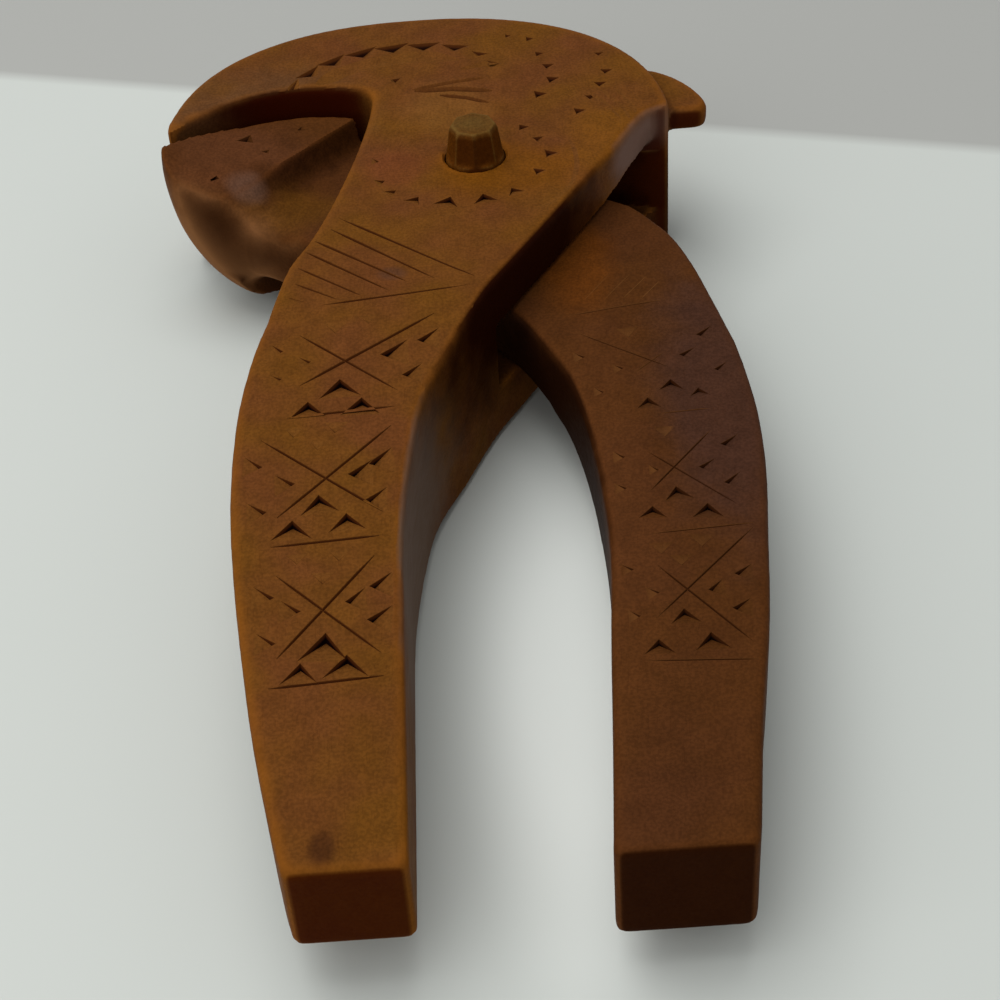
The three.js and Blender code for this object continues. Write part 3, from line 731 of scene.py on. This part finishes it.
def hand_worked():
    """Slight waves and tool marks all over, kept within the piece's own box, and attributes that say
    how the surface bends and how far its own wood closes it in."""
    tree, given, result = new_tree(
        "GeometryNodeTree", "hand worked surface",
        [
            ("Geometry", "Blank", None), ("Object", "Wood", None),
            ("Vector", "Low", None), ("Vector", "High", None),
            ("Float", "Wave", 0.00005), ("Float", "Wave Size", 0.014),
            ("Float", "Nick", 0.000015), ("Float", "Nick Size", 0.0022),
            ("Int", "Blur", 2), ("Float", "Reach", 0.02),
            ("Vector", "Round Centre", None), ("Vector", "Round Reach", (0.001, 0.001, 0.001)),
            ("Int", "Round Steps", 0),
        ],
        [("Geometry", "Piece")],
    )
    normal = step(tree, "GeometryNodeInputNormal").outputs[0]
    spot = step(tree, "GeometryNodeInputPosition").outputs[0]

    def blurred(value, steps, kind="FLOAT"):
        inputs = {"Value": value, "Iterations": steps}
        return step(tree, "GeometryNodeBlurAttribute", inputs, data_type=kind).outputs[0]

    def swell(height, size, detail):
        waves = noise(tree, calc(tree, "DIVIDE", 1.0, size), detail=detail)["Fac"]
        return times(tree, waves, times(tree, height, INWARDS))

    height = calc(
        tree, "ADD",
        swell(given["Wave"], given["Wave Size"], 1.0), swell(given["Nick"], given["Nick Size"], 2.0),
    )
    rounded = blurred(spot, given["Round Steps"], "FLOAT_VECTOR")
    away = share_away(tree, spot, given["Round Centre"], given["Round Reach"])
    change = vector_calc(tree, "SUBTRACT", rounded, spot)
    change = scaled(tree, change, ramp(tree, away, ROUND_CORE, 1.0, 1.0, 0.0, soft=True))
    moved = vector_calc(tree, "ADD", vector_calc(tree, "ADD", spot, change), scaled(tree, normal, height))
    inside = vector_calc(tree, "MAXIMUM", moved, given["Low"])
    inside = vector_calc(tree, "MINIMUM", inside, given["High"])

    own_wood = step(tree, "GeometryNodeObjectInfo", {"Object": given["Wood"]}).outputs["Geometry"]
    start = vector_calc(tree, "ADD", spot, scaled(tree, normal, SIGHT_START))
    total = 0.0
    for seed in range(SIGHT_LINES):
        chance = step(tree, "FunctionNodeRandomValue", {
            0: (-1.0, -1.0, -1.0), 1: (1.0, 1.0, 1.0), "Seed": seed,
        }, data_type="FLOAT_VECTOR").outputs[0]
        sight = step(tree, "GeometryNodeRaycast", {
            "Target Geometry": own_wood, "Source Position": start,
            "Ray Direction": vector_calc(tree, "ADD", normal, vector_calc(tree, "NORMALIZE", chance)),
            "Ray Length": given["Reach"],
        }).outputs
        share = calc(tree, "DIVIDE", sight["Hit Distance"], given["Reach"])
        total = calc(tree, "MULTIPLY_ADD", sight["Is Hit"], calc(tree, "SUBTRACT", 1.0, share), total)

    angle = step(tree, "GeometryNodeInputMeshEdgeAngle").outputs["Signed Angle"]
    measured = stored(tree, given["Blank"], "bend", blurred(angle, given["Blur"]))
    closed = calc(tree, "DIVIDE", total, float(SIGHT_LINES))
    measured = stored(tree, measured, "closed", blurred(closed, given["Blur"]))
    shaped = step(tree, "GeometryNodeSetPosition", {"Geometry": measured, "Position": inside}).outputs[0]
    tree.links.new(shaped, result["Piece"])
    return tree


HAND_WORKED = hand_worked()


def softened(node, name, grid, smoothing, crisp=0.0, values=None):
    """An even grid laid over a frame piece, with its edges softened, then worked by hand with these
    values. Within `crisp` mm of the peg's axis the edges stay as they are."""
    piece = merged_copy(node, name)
    form = merged_copy(node, "form")
    modify(piece, "REMESH", mode="VOXEL", voxel_size=grid, use_smooth_shade=True)
    modify(piece, "SHRINKWRAP", target=form, wrap_method="NEAREST_SURFACEPOINT")
    settle(piece)
    away = piece.vertex_groups.new(name="away from the bore")
    outside = [v.index for v in piece.data.vertices if (v.co - peg_axis).xy.length > crisp * MM]
    away.add(outside, 1.0, "REPLACE")
    modify(piece, "SMOOTH", iterations=smoothing, factor=SOFTENING, vertex_group=away.name)
    settle(piece)
    piece.vertex_groups.clear()
    low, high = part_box(node)
    given = {"Wood": form, "Low": tuple(low), "High": tuple(high), **(values or {})}
    run_tree(piece, HAND_WORKED, given)
    drop(form)
    return piece


# Carving tools

# The blade for a groove of unit width: half its width at the top and how high that is above the
# surface, then half its width at the lower edge and how deep that is
BLADE_TOP = 1.44
BLADE_RISE = 1.0
BLADE_EDGE = 0.03
BLADE_DEPTH = 0.5
# Stops along a groove, how much of it each end takes to narrow, and how narrow the end is
GROOVE_STOPS = 15
END_SHARE = 0.16
END_WIDTH_SHARE = 0.4
# How far a chip's knife runs on above the surface, as a share of its depth
KNIFE_RUN = 2.2
# How far behind a chip's point it is deepest, as a share of its length
KEELS = {"Chips": 0.18, "Pits": 0.5, "Teeth": 0.7}
# Edges sharper than this stay crisp, in degrees
CRISP_ANGLE = 32


def groove_path(level, grooves):
    """One string of edges for each groove, with its width and depth as attributes."""
    spots, edges, widths, depths = [], [], [], []
    for width, depth, *run in grooves:
        for number, (across, along) in enumerate(run):
            if number:
                edges.append((len(spots) - 1, len(spots)))
            spots.append(place(across, along, top_at(along, level)))
            widths.append(width * MM)
            depths.append(depth * MM)
    mesh = bpy.data.meshes.new("groove paths")
    mesh.from_pydata(spots, edges, [])
    mesh.attributes.new("groove width", "FLOAT", "POINT").data.foreach_set("value", widths)
    mesh.attributes.new("groove depth", "FLOAT", "POINT").data.foreach_set("value", depths)
    return keep("groove paths", mesh)


def chip_spots(chips):
    """One vertex for each chip, with its turn and size as attributes. Chips are (across, along,
    height, lean, turn, width, length, depth) in mm, with the turn that its point looks in."""
    mesh = bpy.data.meshes.new("chip spots")
    mesh.from_pydata([place(*row[:3]) for row in chips], [], [])
    turns = []
    for row in chips:
        lean, turn = row[3:5]
        turns += (Matrix.Rotation(lean, 3, "X") @ Matrix.Rotation(turn, 3, "Z")).to_euler("XYZ")
    mesh.attributes.new("chip turn", "FLOAT_VECTOR", "POINT").data.foreach_set("vector", turns)
    sizes = [size * MM for row in chips for size in row[5:]]
    mesh.attributes.new("chip size", "FLOAT_VECTOR", "POINT").data.foreach_set("vector", sizes)
    return keep("chip spots", mesh)


def chip_knife(name, keel):
    """A chip of unit width, length and depth. Its point is at the origin and looks along +Y, and
    `keel` is how far behind the point it is deepest. It runs on above the surface."""
    deep = Vector((0.0, -keel, -1.0))
    corners = [Vector((0.0, 0.0, 0.0)), Vector((-0.5, -1.0, 0.0)), Vector((0.5, -1.0, 0.0))]
    upper = [deep + (corner - deep) * KNIFE_RUN for corner in corners]
    mesh = bpy.data.meshes.new(name)
    mesh.from_pydata([deep, *upper], [], [(1, 2, 3), (0, 2, 1), (0, 3, 2), (0, 1, 3)])
    rework(mesh, lambda shape: bmesh.ops.recalc_face_normals(shape, faces=shape.faces))
    return keep(name, mesh)


def carving():
    """Cuts grooves, chips and teeth out of a piece. The cuts get a finish of their own, and the
    piece keeps its attributes and gets one that says how deep a place is sunk."""
    tree, given, result = new_tree(
        "GeometryNodeTree", "chip carving",
        [
            ("Geometry", "Blank", None), ("Material", "Cut", None), ("Object", "Grooves", None),
            *(("Object", cuts + end, None) for cuts in KEELS for end in ("", " Knife")),
        ],
        [("Geometry", "Piece")],
    )

    def named(name, kind="FLOAT"):
        return step(tree, "GeometryNodeInputNamedAttribute", {"Name": name}, data_type=kind).outputs[0]

    def shape_of(name):
        return step(tree, "GeometryNodeObjectInfo", {"Object": given[name]}).outputs["Geometry"]

    all_cuts = step(tree, "GeometryNodeJoinGeometry")
    curves = step(tree, "GeometryNodeMeshToCurve", {"Mesh": shape_of("Grooves")}).outputs[0]
    evened = step(tree, "GeometryNodeResampleCurve", {"Curve": curves, "Count": GROOVE_STOPS}).outputs[0]
    upright = step(tree, "GeometryNodeSetCurveNormal", {"Curve": evened}, mode="Z_UP").outputs[0]
    spot = step(tree, "GeometryNodeInputPosition").outputs[0]
    height = step(tree, "ShaderNodeSeparateXYZ", {0: spot}).outputs["Z"]
    levelled = stored(tree, upright, "groove level", height)
    share = step(tree, "GeometryNodeSplineParameter").outputs["Factor"]
    near_end = calc(tree, "MINIMUM", share, calc(tree, "SUBTRACT", 1.0, share))
    taper = ramp(tree, near_end, 0.0, END_SHARE, END_WIDTH_SHARE, 1.0)
    # The blade's profile comes out upside down on its path
    blade = step(tree, "GeometryNodeCurvePrimitiveQuadrilateral", {
        "Point 1": (BLADE_TOP, -BLADE_RISE, 0.0), "Point 2": (-BLADE_TOP, -BLADE_RISE, 0.0),
        "Point 3": (-BLADE_EDGE, BLADE_DEPTH, 0.0), "Point 4": (BLADE_EDGE, BLADE_DEPTH, 0.0),
    }, mode="POINTS").outputs[0]
    grooves = step(tree, "GeometryNodeCurveToMesh", {
        "Curve": levelled, "Profile Curve": blade,
        "Scale": times(tree, named("groove width"), taper), "Fill Caps": True,
    }).outputs[0]
    # Stretches the blade up and down until the groove has its own depth
    blade_depth = times(tree, named("groove width"), BLADE_DEPTH)
    stretch = calc(tree, "SUBTRACT", calc(tree, "DIVIDE", named("groove depth"), blade_depth), 1.0)
    rise = times(tree, calc(tree, "SUBTRACT", height, named("groove level")), stretch)
    grooves = step(tree, "GeometryNodeSetPosition", {
        "Geometry": grooves, "Offset": step(tree, "ShaderNodeCombineXYZ", {"Z": rise}).outputs[0],
    }).outputs[0]
    tree.links.new(grooves, all_cuts.inputs[0])

    for cuts in KEELS:
        points = step(tree, "GeometryNodeMeshToPoints", {"Mesh": shape_of(cuts)}).outputs[0]
        turned = step(tree, "FunctionNodeEulerToRotation", {0: named("chip turn", "FLOAT_VECTOR")}).outputs[0]
        chips = step(tree, "GeometryNodeInstanceOnPoints", {
            "Points": points, "Instance": shape_of(cuts + " Knife"), "Rotation": turned,
            "Scale": named("chip size", "FLOAT_VECTOR"),
        }).outputs[0]
        chips = step(tree, "GeometryNodeRealizeInstances", {"Geometry": chips}).outputs[0]
        tree.links.new(chips, all_cuts.inputs[0])

    threes = step(tree, "GeometryNodeTriangulate", {"Mesh": all_cuts.outputs[0]}).outputs[0]
    one = step(tree, "GeometryNodeMeshBoolean", {
        "Mesh 2": threes, "Self Intersection": True,
    }, operation="UNION", solver="EXACT").outputs[0]
    blades = step(tree, "GeometryNodeSetMaterial", {"Geometry": one, "Material": given["Cut"]}).outputs[0]
    piece = step(tree, "GeometryNodeMeshBoolean", {
        "Mesh 1": given["Blank"], "Mesh 2": blades,
    }, operation="DIFFERENCE", solver="MANIFOLD").outputs[0]
    to_blank = step(tree, "GeometryNodeProximity", {"Geometry": given["Blank"]}, target_element="FACES")
    piece = stored(tree, piece, "sunk", to_blank.outputs["Distance"])
    for name in ("bend", "closed"):
        nearest = step(tree, "GeometryNodeSampleNearestSurface", {
            "Mesh": given["Blank"], "Value": named(name),
        }, data_type="FLOAT").outputs[0]
        piece = stored(tree, piece, name, nearest)
    tree.links.new(piece, result["Piece"])
    return tree


CARVING = carving()
KNIVES = {cuts: chip_knife(cuts.lower() + " knife", keel) for cuts, keel in KEELS.items()}


def drop_flakes(shape):
    """Removes the loose flakes that the cuts leave beside the piece."""
    seen, islands = set(), []
    for start in shape.verts:
        if start in seen:
            continue
        seen.add(start)
        island, front = [start], [start]
        while front:
            vertex = front.pop()
            for edge in vertex.link_edges:
                other = edge.other_vert(vertex)
                if other not in seen:
                    seen.add(other)
                    island.append(other)
                    front.append(other)
        islands.append(island)
    islands.sort(key=len)
    flakes = [vertex for island in islands[:-1] for vertex in island]
    bmesh.ops.delete(shape, geom=flakes, context="VERTS")


def carve(piece, level, grooves, cuts, finish, cut):
    """`cuts` are the chips, the pits and the teeth, each list for its own knife."""
    piece.data.materials.append(finish)
    values = {"Grooves": groove_path(level, grooves), "Cut": cut}
    marks = [values["Grooves"]]
    for (name, knife), chips in zip(KNIVES.items(), cuts):
        values[name] = chip_spots(chips)
        values[name + " Knife"] = knife
        marks.append(values[name])
    run_tree(piece, CARVING, values)
    for mark in marks:
        drop(mark)
    rework(piece.data, drop_flakes)
    piece.data.shade_smooth()
    piece.data.set_sharp_from_angle(angle=radians(CRISP_ANGLE))
    return piece


# Marks made by hand, each a little uneven in size and turn

HAND = Random(11)
SIZE_SPREAD = 0.07
CHIP_TURN_SPREAD = 0.09
PIT_TURN_SPREAD = 0.2
# Lengths for their width, and how far behind its point a mark's given spot is, for its length
CHIP_LENGTH_SHARE = 0.68
CHIP_MIDDLE_SHARE = 0.3
PIT_LENGTH_SHARE = 0.85
PIT_MIDDLE_SHARE = 0.55
TOOTH_MIDDLE_SHARE = 0.7
# Depths for their width
PIT_DEPTH_SHARE = 0.26
NICK_DEPTH_SHARE = 0.2
# Chips beside a cross sit this much, for their width, back across and to the front
SIDE_ACROSS_SHARE = 0.06
SIDE_FRONT_SHARE = 0.25
PIT_TURNS = (0.5, 1.1)
DENT_TURN_PER_MM = 0.1


def by_hand(value):
    """A size with the slight unevenness of hand work."""
    return value * HAND.uniform(1 - SIZE_SPREAD, 1 + SIZE_SPREAD)


def turn_towards(across, along, centre):
    """Turn of a chip whose point looks at the centre."""
    return atan2(centre[1] - along, centre[0] - across) - pi / 2


def ahead(across, along, turn, distance):
    """The spot that far in front of another, in the way that a chip's point looks."""
    return across - distance * sin(turn), along + distance * cos(turn)


def chip(across, along, level, turn, width, depth_share):
    """A chip whose darkest place, just behind its point, is at the spot."""
    width = by_hand(width)
    turn += HAND.uniform(-CHIP_TURN_SPREAD, CHIP_TURN_SPREAD)
    length = by_hand(width * CHIP_LENGTH_SHARE)
    across, along = ahead(across, along, turn, CHIP_MIDDLE_SHARE * length)
    height, lean = top_at(along, level), fall_at(along, level)
    return (across, along, height, lean, turn, width, length, width * depth_share)


def pit(across, along, height, turn, width):
    """A short pit whose middle is at the spot."""
    width = by_hand(width)
    turn += HAND.uniform(-PIT_TURN_SPREAD, PIT_TURN_SPREAD)
    length = by_hand(width * PIT_LENGTH_SHARE)
    across, along = ahead(across, along, turn, PIT_MIDDLE_SHARE * length)
    return (across, along, height, 0.0, turn, width, length, width * PIT_DEPTH_SHARE)


def tooth(across, along, height, turn, width, length, depth):
    """A tooth whose back edge is at the spot."""
    across, along = ahead(across, along, turn, TOOTH_MIDDLE_SHARE * length)
    return (across, along, height, 0.0, turn, width, length, depth)


def cross_cuts(crosses, level, depths):
    """The crosses' strokes, as grooves, and their chips."""
    grooves, chips = [], []
    for cross in crosses:
        grooves += cross["strokes"]
        for side, turn in LOOKS.items():
            for across, along, width in cross[side]:
                across -= SIDE_ACROSS_SHARE * sin(turn) * width
                along -= SIDE_FRONT_SHARE * abs(sin(turn)) * width
                chips.append(chip(across, along, level, turn, width, depths[side]))
    return grooves, chips


# Pieces

# The lip's tip leans in towards its foot: where it is in plan, how far the lean reaches up and
# around, and its way and size
LIP_TIP = (-52.5, 14.5)
LEAN_HEIGHT = 16.0
LEAN_REACH = 11.0
LEAN = (1.2, 4.2, 0.0)
# The yoke's bore keeps its crisp rim within this of the peg's axis
BORE_RIM = 6.4
# The jaw block's front left is rounded about this spot, this far, by this many steps of blurring
BLOCK_CORNER = (-44.5, -1.0, 21.0)
BLOCK_REACH = (0.020, 0.014, 0.020)
BLOCK_STEPS = 220
# The peg is driven tight into the top of its bore: how high up, how far from there the widening
# fades out, and its share of the peg's width
TIGHT_HEIGHT = 29.3
TIGHT_REACH = 1.6
TIGHT_SHARE = 0.055


def make_yoke():
    piece = softened("yoke_lever", "carved_yoke_lever", grid=0.00064, smoothing=4, crisp=BORE_RIM)
    tip = place(*LIP_TIP, 0.0)
    for vertex in piece.data.vertices:
        low = max(0.0, 1.0 - vertex.co.z / (LEAN_HEIGHT * MM))
        near = max(0.0, 1.0 - (vertex.co - tip).xy.length / (LEAN_REACH * MM))
        vertex.co += Vector(LEAN) * (MM * low * near * (2.0 - near))
    grooves, chips = cross_cuts(YOKE_CROSSES, YOKE_TOP, YOKE_DEPTHS)
    for across, along, width in PEG_NICKS:
        turn = turn_towards(across, along, (0.0, 0.0))
        chips.append(chip(across, along, YOKE_TOP, turn, width, NICK_DEPTH_SHARE))
    pits = [pit(across, along, YOKE_TOP, HAND.uniform(*PIT_TURNS), width) for across, along, width in PITS]
    teeth = [
        tooth(across, along, YOKE_TOP, turn_towards(across, along, TOOTH_CENTRE), *size)
        for across, along, *size in TOOTH_ROW
    ]
    all_grooves = YOKE_GROOVES + FAN_CUTS + grooves
    return carve(piece, YOKE_TOP, all_grooves, (chips, pits, teeth), yoke_wood, yoke_cut)


def make_inner():
    piece = softened("inner_lever", "carved_inner_lever", grid=0.00052, smoothing=8, values={
        "Round Centre": tuple(place(*BLOCK_CORNER)), "Round Reach": BLOCK_REACH,
        "Round Steps": BLOCK_STEPS,
    })
    grooves, chips = cross_cuts(INNER_CROSSES, INNER_TOP, INNER_DEPTHS)
    dents = [
        pit(across, along, height, DENT_TURN_PER_MM * along, width)
        for across, along, width, height in CROWN_DENTS
    ]
    return carve(piece, INNER_TOP, INNER_GROOVES + grooves, (chips, dents), inner_wood, inner_cut)


def make_peg():
    piece = softened("pivot_peg", "whittled_peg", grid=0.00026, smoothing=3, values={
        "Wave": 0.00006, "Wave Size": 0.004, "Nick Size": 0.001,
    })
    for vertex in piece.data.vertices:
        tight = max(0.0, 1.0 - abs(vertex.co.z / MM - TIGHT_HEIGHT) / TIGHT_REACH)
        out = (vertex.co - peg_axis) * (TIGHT_SHARE * tight)
        vertex.co += Vector((out.x, out.y, 0.0))
    piece.data.materials.append(peg_wood)
    piece.data.shade_smooth()
    return piece


yoke = make_yoke()
inner = make_inner()
peg = make_peg()
for knife in KNIVES.values():
    drop(knife)

for piece, node, body, slot in (
    (yoke, "yoke_lever", "yoke", "yoke_wood"),
    (inner, "inner_lever", "lever", "inner_wood"),
    (peg, "pivot_peg", "yoke", "peg_wood"),
):
    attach(piece, body)
    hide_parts(node)


# Table, light and camera

TABLE_TINTS = ((194, 199, 194), (199, 203, 198))
TABLE_CLOUD_RATE = 9.0
# Behind a tilted line the table is greyer: the way across the line, and where along it, in metres,
# the tone changes
FAR_TINT = (166, 167, 163)
FAR_WAY = (0.277, 0.961, 0.0)
FAR_RANGE = (0.109, 0.113)
# Painted light: the table is paler in the space that the two handles enclose
PAINTED_FLOOR_LIGHT_TINT = (228, 232, 227)
PAINTED_FLOOR_LIGHT_CENTRE = (9.0, -92.0, 0.0)
PAINTED_FLOOR_LIGHT_REACH = (0.020, 0.068, 1.0)
PAINTED_FLOOR_LIGHT_CORE = 0.3
TABLE_ROUGHNESS = 0.6
TABLE_SHINE = 0.2
TABLE_REACH = 1.6
# Just under the tool, so that the two surfaces don't meet
TABLE_HEIGHT = -0.0002

# Square lamps that look at the tool: where they are, how wide they are and their power
LAMPS = (
    ("key_lamp", (-0.18, 0.12, 0.82), 0.72, 4.6),
    ("side_lamp", (-0.46, -0.44, 0.44), 0.7, 2.0),
)
ROOM_LIGHT = 0.46

# The camera in mm and degrees, its place in metres from the peg's axis and above the table
LENS = 72.0
SENSOR = 36.0
LOOK_DOWN = 40.8
ROLL_LEFT = 4.0
CAMERA_ACROSS = 0.000145
CAMERA_ALONG = -0.28973
CAMERA_HEIGHT = 0.2040
NEAREST = 0.01


def table_finish():
    material, tree = new_material("pale table")
    spot = object_spot(tree)
    cloud = noise(tree, TABLE_CLOUD_RATE, spot, detail=3.0)["Fac"]
    colour = blend(tree, cloud, *(tint(*value) for value in TABLE_TINTS))
    behind = ramp(tree, part_along(tree, spot, FAR_WAY), *FAR_RANGE)
    colour = blend(tree, behind, colour, tint(*FAR_TINT))
    # Painted light on the table in the space that the handles enclose
    away = share_away(tree, spot, place(*PAINTED_FLOOR_LIGHT_CENTRE), PAINTED_FLOOR_LIGHT_REACH)
    painted_floor_light = ramp(tree, away, PAINTED_FLOOR_LIGHT_CORE, 1.0, 1.0, 0.0, soft=True)
    colour = blend(tree, painted_floor_light, colour, tint(*PAINTED_FLOOR_LIGHT_TINT))
    surface = step(tree, "ShaderNodeBsdfPrincipled", {
        "Base Color": colour, "Roughness": TABLE_ROUGHNESS, "Specular IOR Level": TABLE_SHINE,
    })
    step(tree, "ShaderNodeOutputMaterial", {"Surface": surface.outputs[0]})
    return material


def make_table():
    mesh = bpy.data.meshes.new("table_top")
    corners = [(x * TABLE_REACH, y * TABLE_REACH, 0) for x, y in ((-1, -1), (1, -1), (1, 1), (-1, 1))]
    mesh.from_pydata(corners, [], [(0, 1, 2, 3)])
    mesh.materials.append(table_finish())
    top = keep("table_top", mesh)
    top.location.z = TABLE_HEIGHT
    return top


def add_lamp(name, spot, width, power):
    lamp = bpy.data.lights.new(name, "AREA")
    lamp.shape = "SQUARE"
    lamp.size = width
    lamp.energy = power
    holder = keep(name, lamp)
    holder.location = spot
    holder.rotation_euler = (-Vector(spot)).to_track_quat("-Z", "Y").to_euler()


def light_room():
    world = bpy.data.worlds.new("soft room")
    world.use_nodes = True
    background = world.node_tree.nodes["Background"]
    background.inputs["Color"].default_value = (1.0, 1.0, 1.0, 1.0)
    background.inputs["Strength"].default_value = ROOM_LIGHT
    bpy.context.scene.world = world


def add_camera():
    """Looks down at the tool from in front, tilted a little to the left."""
    pitch, roll = radians(LOOK_DOWN), radians(ROLL_LEFT)
    onward = Vector((0.0, cos(pitch), -sin(pitch)))
    level_up = Vector((0.0, sin(pitch), cos(pitch)))
    level_right = Vector((1.0, 0.0, 0.0))
    up = cos(roll) * level_up + sin(roll) * level_right
    right = cos(roll) * level_right - sin(roll) * level_up
    lens = bpy.data.cameras.new("camera")
    lens.lens = LENS
    lens.sensor_width = SENSOR
    lens.clip_start = NEAREST
    camera = keep("camera", lens)
    camera.matrix_world = Matrix((
        (right.x, up.x, -onward.x, peg_axis.x + CAMERA_ACROSS),
        (right.y, up.y, -onward.y, peg_axis.y + CAMERA_ALONG),
        (right.z, up.z, -onward.z, CAMERA_HEIGHT),
        (0.0, 0.0, 0.0, 1.0),
    ))
    bpy.context.scene.camera = camera


make_table()
for lamp in LAMPS:
    add_lamp(*lamp)
light_room()
add_camera()
bpy.context.scene.view_settings.view_transform = "Standard"
